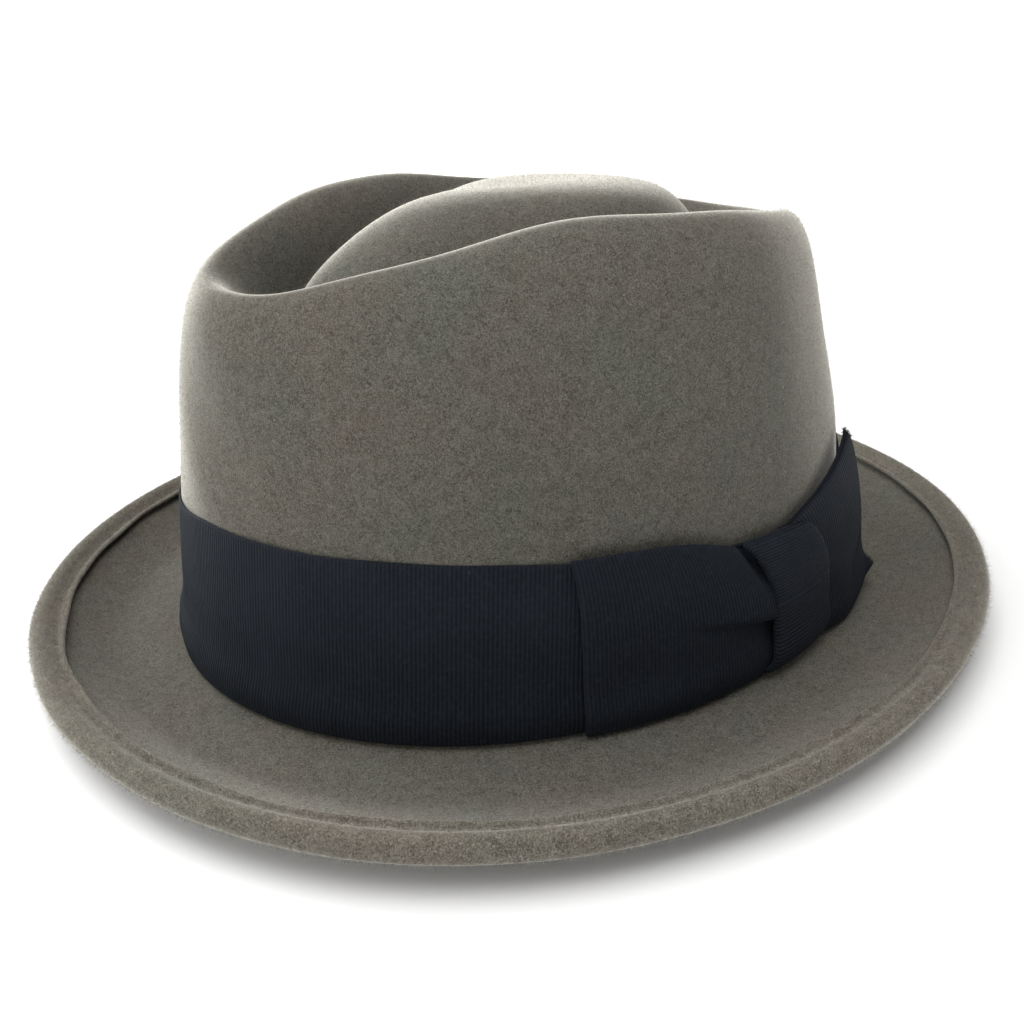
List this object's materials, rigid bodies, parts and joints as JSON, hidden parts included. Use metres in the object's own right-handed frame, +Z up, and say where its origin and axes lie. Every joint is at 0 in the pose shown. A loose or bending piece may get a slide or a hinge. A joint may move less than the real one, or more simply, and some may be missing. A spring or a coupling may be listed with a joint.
{
  "type": "porkpie hat",
  "caption": "Short-brimmed felt hat with a teardrop crease in its crown, a curled stitched brim edge, a wide ribbon band and a flat side bow.",
  "frame": {"origin": "middle of the brim's underside, on the surface that the hat rests on", "axes": "+Z up through the crown, -Y to the front of the hat, +X to the wearer's left, where the bow is"},
  "size_m": [0.2608, 0.2864, 0.1145],
  "materials": {
    "felt": "brushed wool felt, greenish taupe, matt and softly fuzzy",
    "ribbon": "grosgrain ribbon, blue-black, fine upright ribs with a faint sheen"
  },
  "bodies": {
    "root": {"felt_body": "felt", "ribbon_band": "ribbon", "bow_front_loop": "ribbon", "bow_knot": "ribbon", "bow_back_tail": "ribbon"}
  },
  "joints": []
}
